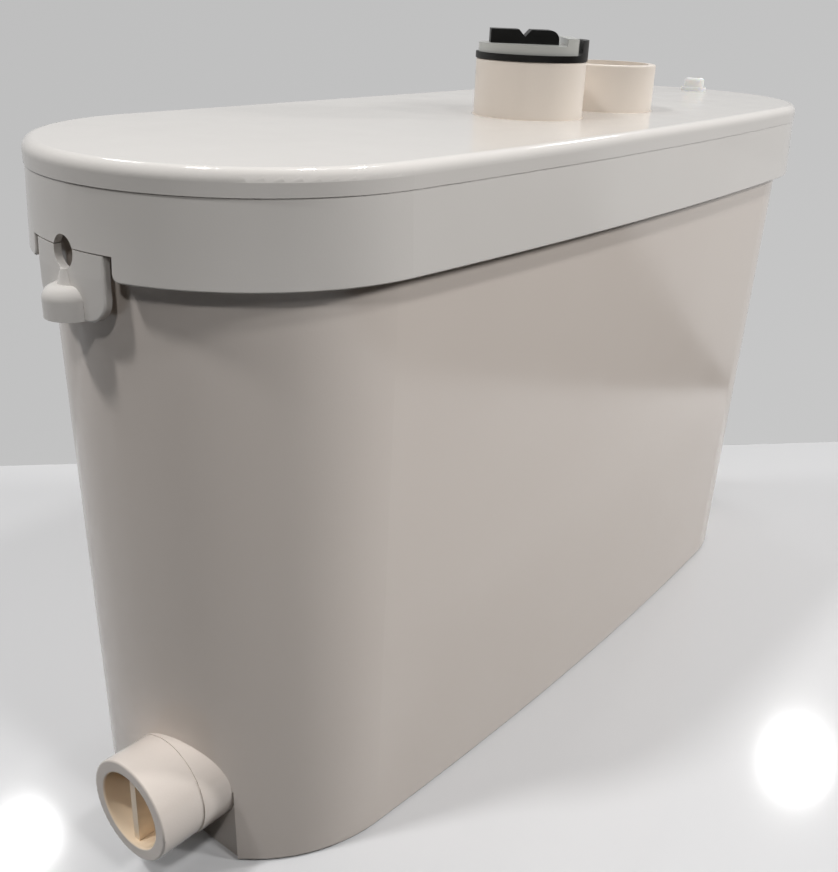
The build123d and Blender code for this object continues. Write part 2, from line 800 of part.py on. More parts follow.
with BuildPart() as sleeve_clamps:
    band_inner = sleeve_outer + slip_gap
    band_outer = band_inner + clamp_wall
    tail_y = centred(discharge_y, clamp_tail_half_width)
    far_low = sleeve_low + sleeve_length - clamp_width - clamp_margin
    for low in (sleeve_low + clamp_margin, far_low):
        high = low + clamp_width
        tail_x = discharge_x + band_outer
        upright(discharge, band_outer, low, high)
        block((tail_x - clamp_wall, tail_x + clamp_tail), tail_y, (low, high))
        upright(discharge, band_inner, low, high, mode=Mode.SUBTRACT)
    far_near = outlet_sleeve_x[1] - clamp_width - clamp_margin
    for near in (outlet_sleeve_x[0] + clamp_margin, far_near):
        far = near + clamp_width
        tail_z = outlet_z + band_outer
        along_x(outlet, band_outer, near, far)
        block((near, far), tail_y, (tail_z - clamp_wall, tail_z + clamp_tail))
        along_x(outlet, band_inner, near, far, mode=Mode.SUBTRACT)

# Inner cover over the wet tank, with its screws and grommets
hole_radius = sleeve_inner + grommet_flange
lead_hole_radius = lead_grommet_radius
dip_tube = (dip_tube_x, dip_tube_y)
with BuildPart() as inner_cover:
    with BuildSketch(Plane.XY.offset(inner_cover_z)):
        add(outline(tank_inset(inner_cover_z) + tank_wall + fit_gap))
        for place in (discharge, top_inlet):
            with Locations(place):
                Circle(hole_radius, mode=Mode.SUBTRACT)
        with Locations(lead):
            Circle(lead_hole_radius, mode=Mode.SUBTRACT)
        with Locations(dip_tube):
            Circle(dip_tube_neck_radius + slip_gap, mode=Mode.SUBTRACT)
        with Locations(*boss_places):
            Circle(cover_screw_radius + slip_gap, mode=Mode.SUBTRACT)
    extrude(amount=inner_cover_thickness)

with BuildPart() as inner_cover_screws:
    for place in boss_places:
        thread_radius = cover_screw_radius - slip_gap
        upright(place, thread_radius, inner_cover_z - boss_height / 3, inner_cover_top)
        head_top = inner_cover_top + cover_screw_head_height
        upright(place, cover_screw_head, inner_cover_top, head_top)

with BuildPart() as pipe_grommets:
    for place in (discharge, top_inlet):
        upright(place, hole_radius - slip_gap, inner_cover_z, inner_cover_top)
        upright(place, hole_radius + grommet_lap, inner_cover_top, grommet_top)
        upright(place, hole_radius + grommet_lap, inner_cover_z - grommet_lap, inner_cover_z)
        upright(place, sleeve_inner, inner_cover_z - grommet_lap, grommet_top, mode=Mode.SUBTRACT)

with BuildPart() as lead_grommet:
    flange_radius = lead_hole_radius + grommet_lap
    upright(lead, lead_hole_radius - slip_gap, inner_cover_z, inner_cover_top)
    upright(lead, flange_radius, inner_cover_z - grommet_lap, inner_cover_z)
    grommet_bore = lead_radius + slip_gap
    upright(lead, grommet_bore, inner_cover_z - grommet_lap, inner_cover_top, mode=Mode.SUBTRACT)

# Level sensing: an air-filled dip tube under a pressure switch
with BuildPart() as dip_tube_part:
    tube_low = tank_floor + dip_tube_foot_gap
    shoulder = inner_cover_z - dip_tube_flange_thickness
    upright(dip_tube, dip_tube_radius, tube_low, inner_cover_z)
    upright(dip_tube, dip_tube_radius + dip_tube_flange, shoulder, inner_cover_z)
    neck_top = inner_cover_top + dip_tube_neck_rise
    upright(dip_tube, dip_tube_neck_radius, inner_cover_z, neck_top)
    upright(dip_tube, dip_tube_radius - dip_tube_wall, tube_low, shoulder, mode=Mode.SUBTRACT)
    upright(dip_tube, dip_tube_neck_bore, shoulder, neck_top, mode=Mode.SUBTRACT)

with BuildPart() as pressure_switch:
    switch_top = inner_cover_top + switch_height
    upright(dip_tube, switch_radius, inner_cover_top, switch_top)
    fillet(pressure_switch.edges().filter_by(GeomType.CIRCLE).sort_by(Axis.Z)[-1], switch_rounding)
    upright(dip_tube, switch_cap_radius, switch_top, switch_top + switch_cap_height)
    terminal_top = switch_top + switch_cap_height + terminal_height
    for step in (-1, 0, 1):
        terminal_x = centred(dip_tube_x + step * terminal_pitch, terminal_half_thickness)
        block(terminal_x, centred(dip_tube_y, terminal_half_width), (switch_top, terminal_top))
    socket = dip_tube_neck_radius + slip_gap
    upright(dip_tube, socket, inner_cover_top, neck_top, mode=Mode.SUBTRACT)

# Switchgear: capacitor in its clip, terminal box and the motor lead
capacitor_z = inner_cover_top + clip_wall + capacitor_radius
capacitor_at = (capacitor_y, capacitor_z)
with BuildPart() as capacitor:
    along_x(capacitor_at, capacitor_radius, *centred(capacitor_x, capacitor_length / 2))
    fillet(capacitor.edges().filter_by(GeomType.CIRCLE), capacitor_rounding)
    post_x = capacitor_x - capacitor_length / 2
    for step in (-1, 1):
        post_at = (capacitor_y + step * post_offset, capacitor_z)
        along_x(post_at, post_radius, post_x - post_length, post_x)

with BuildPart() as capacitor_clip:
    clip_x = centred(capacitor_x, clip_width / 2)
    band_radius = capacitor_radius + slip_gap
    along_x(capacitor_at, band_radius + clip_wall, *clip_x)
    leg_y = centred(capacitor_y, band_radius + clip_wall)
    block(clip_x, leg_y, (inner_cover_top, capacitor_z))
    foot_y_span = centred(capacitor_y, band_radius + clip_wall + clip_foot)
    block(clip_x, foot_y_span, (inner_cover_top, inner_cover_top + clip_wall))
    along_x(capacitor_at, band_radius, *clip_x, mode=Mode.SUBTRACT)
    inner_y = centred(capacitor_y, band_radius)
    block(clip_x, inner_y, (inner_cover_z, capacitor_z), mode=Mode.SUBTRACT)

box_top = inner_cover_top + box_height
with BuildPart() as terminal_box:
    with BuildSketch(Plane.XY.offset(inner_cover_top)):
        with Locations((box_x, box_y)):
            RectangleRounded(box_length, box_width, 2 * box_wall)
    extrude(amount=box_height)
    offset(amount=-box_wall, openings=terminal_box.faces().sort_by(Axis.Z)[-1])
    upright(lead, lead_radius + slip_gap, inner_cover_top, box_top, mode=Mode.SUBTRACT)

with BuildPart() as terminal_box_cover:
    with BuildSketch(Plane.XY.offset(box_top)):
        with Locations((box_x, box_y)):
            RectangleRounded(box_length, box_width, 2 * box_wall)
    extrude(amount=box_cover_thickness)
    fillet(terminal_box_cover.faces().sort_by(Axis.Z)[-1].edges(), box_cover_rounding)

with BuildPart() as motor_lead:
    upright(lead, lead_radius - slip_gap, bell_middle, inner_cover_top + box_height / 2)


# Lid: a rounded top over a drafted skirt with a fine step between them
def skirt_block(inset, low):
    """The skirt's form from low up to the rim band, moved inwards by inset."""
    with BuildPart() as body:
        add(tapered(skirt_bottom, inset, rim_bottom, inset + skirt_draft))
        if low < skirt_bottom:
            with BuildSketch(Plane.XY.offset(low)):
                add(outline(inset))
            extrude(amount=skirt_bottom - low)
    return body.part


hollow_inset = lid_wall + skirt_draft * (lid_underside - skirt_bottom) / (rim_bottom - skirt_bottom)
rib_inset = tank_inset_rim + tank_wall + fit_gap
with BuildPart() as lid:
    add(skirt_block(0, skirt_bottom))
    with BuildSketch(Plane.XY.offset(rim_bottom)):
        add(outline(skirt_draft - rim_overhang))
    extrude(amount=rim_band)
    fillet(lid.faces().sort_by(Axis.Z)[-1].edges(), lid_edge_radius)
    add(tapered(skirt_bottom, lid_wall, lid_underside, hollow_inset), mode=Mode.SUBTRACT)
    with BuildSketch(Plane.XY.offset(lid_underside - locating_rib_depth)):
        add(outline(rib_inset))
        add(outline(rib_inset + locating_rib), mode=Mode.SUBTRACT)
    extrude(amount=locating_rib_depth)
    for place, radius in ((discharge, discharge_radius), (top_inlet, top_inlet_radius)):
        spigot_hole = radius + spigot_shoulder + slip_gap
        upright(place, spigot_hole, lid_underside, lid_top, mode=Mode.SUBTRACT)
    stem_hole = gland_stem_radius + slip_gap
    upright((gland_x, gland_y), stem_hole, lid_underside, lid_top, mode=Mode.SUBTRACT)
    slot_y = (latch_low_y - latch_slot, latch_high_y + latch_slot)
    slot_z = (skirt_bottom - cut_past, latch_hinge_z + latch_hinge_gap / 2)
    for side in (-1, 1):
        slot_x = (side * (half_length - end_radius / 2), side * (half_length + cut_past))
        block(slot_x, slot_y, slot_z, mode=Mode.SUBTRACT)
        hole_span = (side * (half_length - 3 * lid_wall), side * (half_length + cut_past))
        along_x((latch_y, latch_hole_z), latch_hole_radius, *hole_span, mode=Mode.SUBTRACT)
    low_edges = lid.edges().filter_by_position(Axis.Z, skirt_bottom - slip_gap, skirt_bottom + slip_gap)
    slot_edges = [edge for edge in low_edges if edge.length < 2 * lid_wall]
    fillet(slot_edges, skirt_corner)
    low_edges = lid.edges().filter_by_position(Axis.Z, skirt_bottom - slip_gap, skirt_bottom + slip_gap)
    fillet([edge for edge in low_edges if edge.length > 2 * lid_wall], skirt_rounding)

with BuildPart() as lid_seal:
    with BuildSketch(Plane.XY.offset(tank_rim)):
        add(outline(rib_inset - slip_gap - seal_width))
        add(outline(rib_inset - slip_gap), mode=Mode.SUBTRACT)
    extrude(amount=seal_height)


def on_end_face(point):
    """Whether this point lies on the outer face of the skirt at either end."""
    inset = skirt_draft * max(0, point.Z - skirt_bottom) / (rim_bottom - skirt_bottom)
    stand = math.hypot(abs(point.X) - end_x, point.Y - end_y)
    return abs(end_radius - inset - stand) < slip_gap


def make_latch(side):
    """A tongue of the skirt with a finger ledge outside and a barb inside."""
    with BuildPart() as ledge:
        root_x = side * (half_length - lid_wall / 2)
        with BuildSketch(Plane.XY.offset(latch_bottom)):
            with Locations((side * (half_length + ledge_reach - ledge_radius), latch_y)):
                Circle(ledge_radius)
        extrude(amount=ledge_height)
        fillet(ledge.faces().sort_by(Axis.Z)[-1].edges(), ledge_rounding)
        with Locations((root_x, latch_y, latch_bottom + ledge_height + ramp_height / 2)):
            Cone(ramp_foot_radius, ramp_tip_radius, ramp_height)
        keep = Keep.TOP if side > 0 else Keep.BOTTOM
        split(bisect_by=Plane.YZ.offset(root_x), keep=keep)
    with BuildPart() as latch:
        add(skirt_block(0, latch_bottom))
        add(skirt_block(lid_wall, latch_bottom), mode=Mode.SUBTRACT)
        tongue_top = latch_hinge_z - latch_hinge_gap / 2
        with BuildSketch(Plane.YZ.offset(side * (half_length - end_radius / 2))) as face:
            with Locations((latch_y, (latch_bottom + tongue_top) / 2)):
                Rectangle(latch_width, tongue_top - latch_bottom)
            fillet(face.vertices().group_by(Axis.Y)[0], latch_corner)
        extrude(amount=side * end_radius, mode=Mode.INTERSECT)
        free_edges = []
        for edge in latch.edges():
            middle = edge.position_at(0.5)
            below_hinge = middle.Z < tongue_top - slip_gap
            if below_hinge and edge.length < latch_width and on_end_face(middle):
                free_edges.append(edge)
        fillet(free_edges, latch_rounding)
        add(ledge.part)
        wall_x = side * (half_length - lid_wall)
        barb_x = (wall_x - side * barb_reach, wall_x + side * lid_wall / 2)
        barb_z = (barb_low, barb_low + barb_height)
        block(barb_x, centred(latch_y, barb_half_width), barb_z)
        hole_span = (side * (half_length - 3 * lid_wall), side * (half_length + cut_past))
        along_x((latch_y, latch_hole_z), latch_hole_radius, *hole_span, mode=Mode.SUBTRACT)
    return latch


# Spigots in the lid, with their seals
def make_spigot(centre, radius, top, tail_low):
    """A flanged pipe end through the lid, stepped down to the inner pipe size."""
    with BuildPart() as spigot:
        upright(centre, radius, spigot_flange_low, top)
        fillet(spigot.edges().filter_by(GeomType.CIRCLE).sort_by(Axis.Z)[-1], spigot_lip_radius)
        upright(centre, radius + spigot_shoulder, spigot_flange_low, lid_top)
        upright(centre, radius + spigot_flange, spigot_flange_low, spigot_seal_low)
        upright(centre, pipe_radius, tail_low, spigot_flange_low)
        upright(centre, radius - spigot_wall, lid_top, top, mode=Mode.SUBTRACT)
        upright(centre, pipe_bore_radius, tail_low, top, mode=Mode.SUBTRACT)
    return spigot


with BuildPart() as spigot_seals:
    for place, radius in ((discharge, discharge_radius), (top_inlet, top_inlet_radius)):
        seal_outer = radius + spigot_flange - spigot_seal_setback
        upright(place, seal_outer, spigot_seal_low, lid_underside)
        seal_inner = radius + spigot_shoulder + slip_gap
        upright(place, seal_inner, spigot_seal_low, lid_underside, mode=Mode.SUBTRACT)

# Cable gland in the lid
gland = (gland_x, gland_y)
with BuildPart() as cable_gland:
    upright(gland, gland_base_radius, lid_top, lid_top + gland_base_height)
    bore_low = lid_underside - gland_nut_height
    upright(gland, gland_radius, lid_top, lid_top + gland_height)
    fillet(cable_gland.edges().filter_by(GeomType.CIRCLE).sort_by(Axis.Z)[-1], gland_rounding)
    upright(gland, gland_stem_radius, bore_low, lid_top)
    upright(gland, gland_bore_radius, bore_low, lid_top + gland_height, mode=Mode.SUBTRACT)

with BuildPart() as gland_nut:
    with BuildSketch(Plane.XY.offset(lid_underside - gland_nut_height)):
        with Locations(gland):
            RegularPolygon(gland_nut_width / 2, nut_sides_count, major_radius=False)
            Circle(gland_stem_radius, mode=Mode.SUBTRACT)
    extrude(amount=gland_nut_height)

# Blanking plug in the discharge spigot: rubber plug with a raised lip, a plate and a grip
plug_plane = Plane(Location((*discharge, discharge_top), (0, 0, plug_turn)))
plug_radius = discharge_radius + plug_overlap
with BuildPart() as plug_body:
    lip_x = plug_radius - plug_lip_width
    lip_top = plug_flange + plug_lip_height
    side_plane = Plane(plug_plane.origin, x_dir=plug_plane.x_dir, z_dir=-plug_plane.y_dir)
    with BuildSketch(side_plane) as side_view:
        with BuildLine():
            Polyline(
                (-plug_radius, plug_flange),
                (-plug_radius, 0),
                (plug_radius, 0),
                (plug_radius, lip_top),
                (lip_x, lip_top),
                (lip_x, plug_flange),
                close=True,
            )
        make_face()
        fillet(side_view.vertices().sort_by_distance((lip_x, plug_flange))[0], plug_lip_rounding)
    extrude(amount=plug_radius, both=True)
    with BuildSketch(plug_plane):
        Circle(plug_radius)
    extrude(amount=lip_top, mode=Mode.INTERSECT)
    with BuildSketch(plug_plane):
        Circle(discharge_radius - spigot_wall - slip_gap)
    extrude(amount=-plug_depth)

with BuildPart() as plug_plate:
    plate_end_x = lip_x - plug_lip_rounding
    with BuildSketch(plug_plane.offset(plug_flange)):
        Circle(plug_radius - plug_plate_margin)
        with Locations((plug_radius + plate_end_x, 0)):
            Rectangle(2 * plug_radius, 2 * plug_radius, mode=Mode.SUBTRACT)
    extrude(amount=plug_plate_thickness + plug_plate_end_height)
    with BuildSketch(plug_plane.offset(plug_flange + plug_plate_thickness)):
        with Locations((plate_end_x - plug_plate_end_width - plug_radius, 0)):
            Rectangle(2 * plug_radius, 2 * plug_radius)
    extrude(amount=plug_plate_end_height, mode=Mode.SUBTRACT)

with BuildPart() as plug_grip:
    foot_plane = plug_plane.offset(plug_flange + plug_plate_thickness)
    grip_plane = Plane(foot_plane.origin, x_dir=foot_plane.x_dir, z_dir=-foot_plane.y_dir)
    grip_left, grip_right = centred(grip_shift, grip_length / 2)
    notch_left, notch_right = centred(grip_shift, grip_notch_width / 2)
    with BuildSketch(grip_plane) as grip_side:
        with BuildLine():
            Polyline(
                (grip_left, 0),
                (grip_right, 0),
                (grip_right, grip_height),
                (notch_right, grip_height),
                (grip_shift, grip_height - grip_notch_depth),
                (notch_left, grip_height),
                (grip_left, grip_height),
                close=True,
            )
        make_face()
        fillet(grip_side.vertices().sort_by_distance((grip_right, grip_height))[0], grip_rounding)
    extrude(amount=grip_width / 2, both=True)

pieces = {
    "tank": tank,
    "foot_pads": foot_pads,
    "vent_filter": vent_filter,
    "left_inlet_seat": make_inlet_seat(-1),
    "right_inlet_seat": make_inlet_seat(1),
    "left_inlet_flap": make_inlet_flap(-1),
    "right_inlet_flap": make_inlet_flap(1),
    "left_flap_pin": make_flap_pin(-1),
    "right_flap_pin": make_flap_pin(1),
    "pump_dampers": pump_dampers,
    "suction_strainer": suction_strainer,
    "cutter_ring": cutter_ring,
    "suction_plate": suction_plate,
    "pump_volute": pump_volute,
    "seal_plate": seal_plate,
    "casing_screws": casing_screws,
    "shaft_seal": shaft_seal,
    "motor_shaft": motor_shaft,
    "rotor_core": rotor_core,
    "impeller": impeller,
    "cutter_blade": cutter_blade,
    "impeller_nut": impeller_nut,
    "lower_bearing": lower_bearing,
    "upper_bearing": upper_bearing,
    "motor_can": motor_can,
    "motor_end_bell": motor_end_bell,
    "stator_core": stator_core,
    "stator_winding": stator_winding,
    "discharge_pipe": discharge_pipe,
    "check_valve_body": check_valve_body,
    "check_valve_flap": check_valve_flap,
    "check_valve_pin": check_valve_pin,
    "riser_pipe": riser_pipe,
    "riser_sleeve": riser_sleeve,
    "outlet_sleeve": outlet_sleeve,
    "sleeve_clamps": sleeve_clamps,
    "inner_cover": inner_cover,
    "inner_cover_screws": inner_cover_screws,
    "pipe_grommets": pipe_grommets,
    "lead_grommet": lead_grommet,
    "dip_tube": dip_tube_part,
    "pressure_switch": pressure_switch,
    "capacitor": capacitor,
    "capacitor_clip": capacitor_clip,
    "terminal_box": terminal_box,
    "terminal_box_cover": terminal_box_cover,
    "motor_lead": motor_lead,
    "lid": lid,
    "lid_seal": lid_seal,
    "left_latch": make_latch(-1),
    "right_latch": make_latch(1),
    "discharge_spigot": make_spigot(discharge, discharge_radius, discharge_top, tail_bottom),
    "top_inlet_spigot": make_spigot(
        top_inlet, top_inlet_radius, top_inlet_top, inner_cover_z - top_tail_drop
    ),
    "spigot_seals": spigot_seals,
    "cable_gland": cable_gland,
    "gland_nut": gland_nut,
    "plug_body": plug_body,
    "plug_plate": plug_plate,
    "plug_grip": plug_grip,
}

os.makedirs(PARTS, exist_ok=True)
for name, piece in pieces.items():
    piece.part.label = name
    export_step(piece.part, f"{PARTS}/{name}.step")
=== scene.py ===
import math

import bmesh
import bpy
from mathutils import Matrix, Vector

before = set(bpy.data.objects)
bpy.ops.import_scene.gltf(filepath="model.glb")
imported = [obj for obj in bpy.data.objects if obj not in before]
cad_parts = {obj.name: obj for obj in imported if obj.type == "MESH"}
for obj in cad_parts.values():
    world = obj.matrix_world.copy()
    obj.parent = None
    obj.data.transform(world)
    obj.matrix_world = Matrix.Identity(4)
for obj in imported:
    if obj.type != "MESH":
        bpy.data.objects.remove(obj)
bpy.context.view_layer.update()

MM = 0.001

# The camera of the photograph: its place, its turn and the length of its lens
CAMERA_PLACE = Vector((-387.9, -266.8, 306.2)) * MM
CAMERA_YAW = 0.66946
CAMERA_PITCH = 0.40771
CAMERA_ROLL = -0.03907
CAMERA_LENS = 42.1
SENSOR = 36.0


def make_camera():
    """The camera stands where the photographer stood, a little rolled."""
    ahead = Vector((
        math.cos(CAMERA_YAW) * math.cos(CAMERA_PITCH),
        math.sin(CAMERA_YAW) * math.cos(CAMERA_PITCH),
        -math.sin(CAMERA_PITCH),
    ))
    level = Vector((math.sin(CAMERA_YAW), -math.cos(CAMERA_YAW), 0))
    down = ahead.cross(level)
    right = math.cos(CAMERA_ROLL) * level + math.sin(CAMERA_ROLL) * down
    below = math.cos(CAMERA_ROLL) * down - math.sin(CAMERA_ROLL) * level
    turn = Matrix((right, -below, -ahead)).transposed().to_4x4()
    camera_data = bpy.data.cameras.new("camera")
    camera_data.lens = CAMERA_LENS
    camera_data.sensor_width = SENSOR
    camera_data.clip_start = 10 * MM
    camera = bpy.data.objects.new("camera", camera_data)
    camera.matrix_world = Matrix.Translation(CAMERA_PLACE) @ turn
    bpy.context.scene.collection.objects.link(camera)
    bpy.context.scene.camera = camera


def linear(code):
    """An sRGB hex colour as linear red, green, blue and alpha."""
    channels = [int(code[i:i + 2], 16) / 255 for i in (1, 3, 5)]
    return [c / 12.92 if c <= 0.04045 else ((c + 0.055) / 1.055) ** 2.4 for c in channels] + [1.0]


def add_node(tree, kind, links=None, **settings):
    """Adds a node, sets its attributes or sockets by name, and links other nodes to its sockets."""
    made = tree.nodes.new("ShaderNode" + kind)
    for key, value in settings.items():
        if hasattr(made, key):
            setattr(made, key, value)
        else:
            made.inputs[key.replace("_", " ")].default_value = value
    for socket, source in (links or {}).items():
        tree.links.new(source, made.inputs[socket])
    return made


def new_material(name):
    """An empty node material with its output and its object coordinates."""
    material = bpy.data.materials.new(name)
    material.use_nodes = True
    tree = material.node_tree
    tree.nodes.clear()
    output = add_node(tree, "OutputMaterial")
    place = add_node(tree, "TexCoord").outputs["Object"]
    return material, tree, output, place


def per_metre(size_mm):
    """The noise scale that gives features of this size in millimetres."""
    return 1 / (size_mm * MM)


# Plastic lets light spread about this far under its skin, and red light further than blue
SKIN_DEPTH_MM = 3.0
SKIN_SPREAD = (1.0, 0.7, 0.4)


def moulded(name, shade, dark, roughness, ior=1.54, grain_mm=0.8, grain_depth=0.02, waves_mm=45.0,
            wave_depth=0.05, glow=0.0, spread=0.04):
    """Injection-moulded plastic: even colour with faint flow marks, fine texture and slow waviness.

    The real grain is finer than 0.1 mm, and is drawn coarser so that it shows at all.
    """
    material, tree, output, place = new_material(name)
    flow = add_node(tree, "TexNoise", {"Vector": place}, Scale=per_metre(waves_mm), Detail=3.0)
    colour = add_node(tree, "Mix", {0: flow.outputs[0]}, data_type="RGBA")
    colour.inputs[6].default_value = linear(shade)
    colour.inputs[7].default_value = linear(dark)
    smudge = add_node(tree, "TexNoise", {"Vector": place}, Scale=per_metre(waves_mm / 3), Detail=5.0)
    dull = add_node(tree, "MapRange", {0: smudge.outputs[0]})
    dull.inputs[1].default_value = 0.3
    dull.inputs[2].default_value = 0.7
    dull.inputs[3].default_value = roughness - spread
    dull.inputs[4].default_value = roughness + spread
    slow = add_node(tree, "Bump", {"Height": flow.outputs[0]}, Strength=1.0, Distance=wave_depth * MM)
    grain = add_node(tree, "TexNoise", {"Vector": place}, Scale=per_metre(grain_mm), Detail=2.0)
    fine = add_node(tree, "Bump", {"Height": grain.outputs[0], "Normal": slow.outputs[0]},
                    Strength=1.0, Distance=grain_depth * MM)
    shader = add_node(tree, "BsdfPrincipled", {
        "Base Color": colour.outputs[2], "Roughness": dull.outputs[0], "Normal": fine.outputs[0],
    }, IOR=ior)
    if glow:
        shader.inputs["Subsurface Weight"].default_value = glow
        shader.inputs["Subsurface Radius"].default_value = SKIN_SPREAD
        shader.inputs["Subsurface Scale"].default_value = SKIN_DEPTH_MM * MM
    tree.links.new(shader.outputs[0], output.inputs[0])
    return material


def metal(name, shade, dark, roughness, streak_mm=8.0, stretch=(1, 1, 40), depth=0.01):
    """Machined or rolled metal: a tint that varies a little and fine streaks from the tool.

    The noise is squeezed along Z by stretch, so that its streaks are that much thinner than streak_mm.
    """
    material, tree, output, place = new_material(name)
    drawn = add_node(tree, "Mapping", {"Vector": place})
    drawn.inputs["Scale"].default_value = stretch
    streaks = add_node(tree, "TexNoise", {"Vector": drawn.outputs[0]}, Scale=per_metre(streak_mm), Detail=6.0)
    colour = add_node(tree, "Mix", {0: streaks.outputs[0]}, data_type="RGBA")
    colour.inputs[6].default_value = linear(shade)
    colour.inputs[7].default_value = linear(dark)
    dull = add_node(tree, "MapRange", {0: streaks.outputs[0]})
    dull.inputs[3].default_value = roughness - 0.06
    dull.inputs[4].default_value = roughness + 0.1
    bump = add_node(tree, "Bump", {"Height": streaks.outputs[0]}, Strength=1.0, Distance=depth * MM)
    shader = add_node(tree, "BsdfPrincipled", {
        "Base Color": colour.outputs[2], "Roughness": dull.outputs[0], "Normal": bump.outputs[0],
    }, Metallic=1.0)
    tree.links.new(shader.outputs[0], output.inputs[0])
    return material


MATERIALS = {
    # ABS moulded in a polished tool: an even, pale gloss with crisp reflections on the lid
    "lid_abs": moulded("lid_abs", "#E3DFDA", "#DFDAD5", 0.12, wave_depth=0.015, spread=0.02),
    # ABS moulded in one deep piece: a warmer gloss, whose reflections waver a little along the long walls
    "tank_abs": moulded("tank_abs", "#E3D9D0", "#E0D5CC", 0.13, waves_mm=70.0, wave_depth=0.05),
    # ABS from an unpolished tool: a creamy half sheen
    "spigot_abs": moulded("spigot_abs", "#E5DBD0", "#E2D7CB", 0.3, wave_depth=0.01, spread=0.02),
    # Moulded EPDM rubber: nearly black and dull, with a broad faint sheen on the plug
    "plug_epdm": moulded("plug_epdm", "#0D0D0C", "#131211", 0.5, ior=1.52, grain_mm=0.5),
    # Moulded polyamide: a pale grey plate with a clear shine
    "plug_nylon": moulded("plug_nylon", "#BDBDB8", "#B5B5B0", 0.22, ior=1.53),
    # Natural polyamide: milky white, with light that spreads under its skin
    "gland_nylon": moulded("gland_nylon", "#E8E8E6", "#DEDEDB", 0.35, ior=1.53, glow=0.3),
    # Moulded EPDM rubber for seals and flaps: black and matt
    "black_epdm": moulded("black_epdm", "#1B1B1B", "#242322", 0.55, ior=1.52),
    # Felt with charcoal: dark, matt and fuzzy
    "charcoal_felt": moulded("charcoal_felt", "#202021", "#343434", 0.95, grain_mm=0.4, grain_depth=0.3),
    # Glass-filled polyamide: black, with a slightly rough skin
    "pump_polyamide": moulded("pump_polyamide", "#1D1E20", "#26272A", 0.45, ior=1.53, grain_depth=0.05),
    # Extruded PVC pipe: even grey with a soft sheen
    "pipe_pvc": moulded("pipe_pvc", "#74777A", "#6B6E71", 0.35, ior=1.53),
    # Moulded polypropylene: a waxy pale grey
    "cover_polypropylene": moulded("cover_polypropylene", "#B9B9B4", "#B0B0AB", 0.45, ior=1.49),
    # Moulded polycarbonate: off-white with a soft sheen
    "switch_polycarbonate": moulded("switch_polycarbonate", "#DAD9D4", "#D0CFCA", 0.35, ior=1.58),
    # ABS with a textured skin: dark grey and even
    "box_abs": moulded("box_abs", "#4E5053", "#46484B", 0.5),
    # Soft PVC sheath: black, with a dull sheen
    "cable_pvc": moulded("cable_pvc", "#111112", "#19191A", 0.5),
    # Turned and pressed stainless steel: bright, with fine streaks round the turned pieces
    "stainless_steel": metal("stainless_steel", "#C4C2BE", "#ADABA7", 0.28),
    # Deep-drawn aluminium: pale silver, with faint lines along the draw
    "drawn_aluminium": metal("drawn_aluminium", "#CFCFCF", "#BABABA", 0.32),
    # Cast aluminium: greyer and grainy, with no direction
    "cast_aluminium": metal("cast_aluminium", "#A9ABAD", "#8F9194", 0.5, stretch=(1, 1, 1), depth=0.05),
    # Stacked steel sheets: dark grey, with the layers as fine lines
    "laminated_steel": metal("laminated_steel", "#6A6A6C", "#4E4E50", 0.45, stretch=(1, 1, 60)),
    # Copper wire under clear enamel: reddish brown with a warm shine
    "enamelled_copper": metal("enamelled_copper", "#B8673A", "#8E4A26", 0.3, stretch=(1, 1, 30)),
}

# The inlet bores of the tank in millimetres, and the painted glow inside them: a brighter warm cream that
# stands in for light shining through the thin wall
INLET_Y = -15.0
INLET_Z = 34.0
INLET_BORE_RADIUS = 15.0
BORE_GLOW_SHADE = "#FFE9CC"


def paint_bore_glow(material):
    """Paints a brighter, warmer cream inside both inlet bores: painted light that stands in for light shining
    through the stubs' thin walls.
    """
    tree = material.node_tree
    shader = tree.nodes["Principled BSDF"]
    outside = shader.inputs["Base Color"].links[0].from_socket
    place = tree.nodes["Texture Coordinate"].outputs["Object"]
    parts = add_node(tree, "SeparateXYZ", {0: place})
    around = add_node(tree, "CombineXYZ", {"Y": parts.outputs["Y"], "Z": parts.outputs["Z"]})
    from_axis = add_node(tree, "VectorMath", {0: around.outputs[0]}, operation="DISTANCE")
    from_axis.inputs[1].default_value = Vector((0, INLET_Y, INLET_Z)) * MM
    inside = add_node(tree, "MapRange", {0: from_axis.outputs["Value"]})
    inside.inputs[1].default_value = (INLET_BORE_RADIUS + 0.6) * MM
    inside.inputs[2].default_value = (INLET_BORE_RADIUS + 0.2) * MM
    # Painted glow: inside the bore radius the colour turns to the brighter warm cream, in place of light
    # coming through the wall
    shade = add_node(tree, "Mix", {0: inside.outputs[0], 6: outside}, data_type="RGBA")
    shade.inputs[7].default_value = linear(BORE_GLOW_SHADE)
    tree.links.new(shade.outputs[2], shader.inputs["Base Color"])


paint_bore_glow(MATERIALS["tank_abs"])

